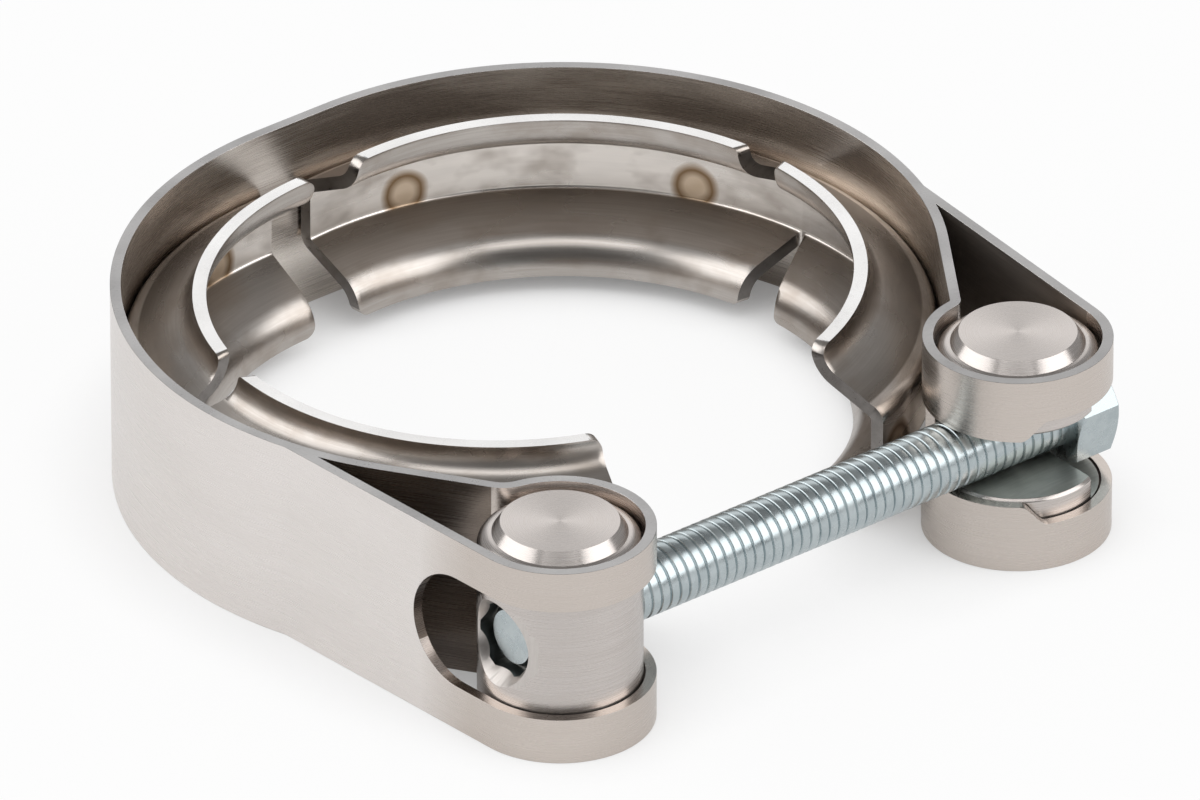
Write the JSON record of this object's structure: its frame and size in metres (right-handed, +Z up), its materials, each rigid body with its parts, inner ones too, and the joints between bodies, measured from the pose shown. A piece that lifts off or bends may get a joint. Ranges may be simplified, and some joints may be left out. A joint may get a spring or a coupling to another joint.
{
  "type": "band clamp",
  "caption": "V-profile band clamp with a looped strap, two retainer segments, pivoting trunnions and a hex-head bolt that swings out.",
  "frame": {"origin": "on the axis of the flanged joint that the clamp closes round, at the height of the strap's lower rim, midway between the two half rings", "axes": "+Z up along the ring's axis, -Y towards the opening and the bolt, +X towards the bolt's head"},
  "size_m": [0.099, 0.103, 0.0256],
  "materials": {
    "strap_steel": "stainless sheet, brushed along the band",
    "retainer_steel": "rolled stainless sheet, satin",
    "turned_steel": "turned stainless bar with fine rings on its ends",
    "zinc_bolt": "bright zinc plate with a faint blue tint"
  },
  "bodies": {
    "band": {"strap": "strap_steel", "left_retainer": "retainer_steel", "right_retainer": "retainer_steel"},
    "left_trunnion": {"left_trunnion": "turned_steel"},
    "right_trunnion": {"right_trunnion": "turned_steel"},
    "bolt": {"bolt": "zinc_bolt"}
  },
  "joints": [
    {"name": "bolt_swing", "type": "hinge", "parent": "band", "child": "left_trunnion", "pos_m": [-0.0338, -0.0473, 0.01282], "axis": [0, 0, 1], "range_deg": [-200, 0]},
    {"name": "bolt_turn", "type": "hinge", "parent": "left_trunnion", "child": "bolt", "pos_m": [0, -0.0473, 0.01282], "axis": [1, 0, 0], "continuous": true},
    {"name": "right_trunnion_pivot", "type": "hinge", "parent": "band", "child": "right_trunnion", "pos_m": [0.0338, -0.0473, 0.01282], "axis": [0, 0, 1], "range_deg": [-4, 4]}
  ]
}
